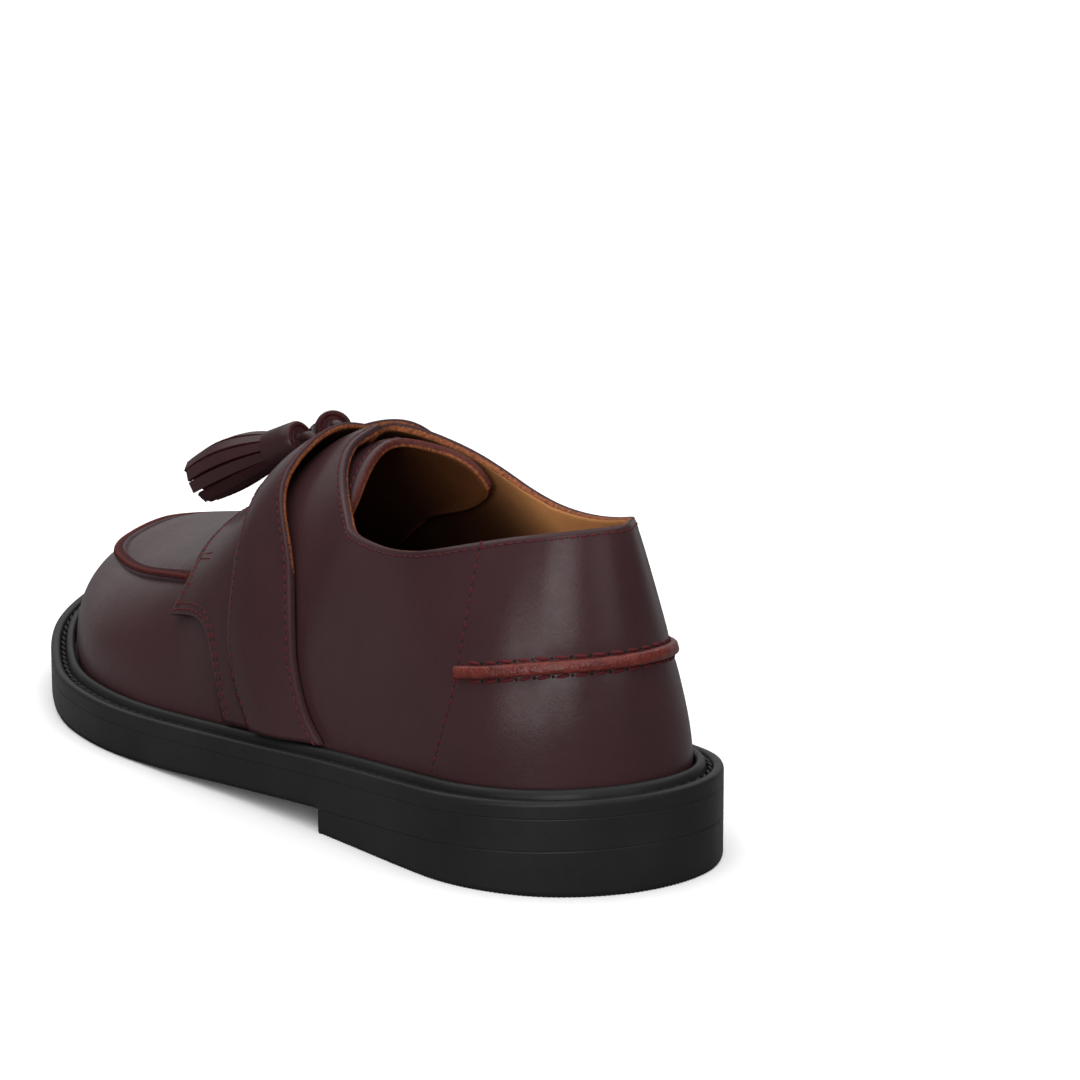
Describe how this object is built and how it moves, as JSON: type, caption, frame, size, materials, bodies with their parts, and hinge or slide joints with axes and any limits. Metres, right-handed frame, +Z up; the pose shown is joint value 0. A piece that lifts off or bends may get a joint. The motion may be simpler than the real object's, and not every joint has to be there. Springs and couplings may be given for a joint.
{
  "type": "tassel loafer",
  "caption": "Low slip-on shoe with moc-toe plug, instep strap carrying cut leather tassels, heel cord, storm welt, outsole and low stacked heel, left foot.",
  "frame": {"origin": "middle of the bounding box in plan, on the ground the sole stands on", "axes": "+Z up, -Y towards the toe, +X towards the outer side of this left shoe"},
  "size_m": [0.1081, 0.287, 0.0882],
  "materials": {
    "upper_leather": "smooth dark burgundy calf with a soft polish",
    "raw_edge": "cut leather edge, red-brown and matt",
    "lining_leather": "undyed tan lining, matt",
    "sole_rubber": "black rubber, satin"
  },
  "bodies": {
    "root": {"heel": "sole_rubber", "outsole": "sole_rubber", "welt": "sole_rubber", "insole": "lining_leather", "upper": "upper_leather", "tongue": "upper_leather", "saddle": "upper_leather", "strap_tab": "upper_leather", "instep_strap": "upper_leather", "apron_roll": "raw_edge", "heel_roll": "raw_edge", "tassel_lace": "upper_leather", "tassel_outer": "upper_leather", "tassel_inner": "upper_leather"}
  },
  "joints": []
}
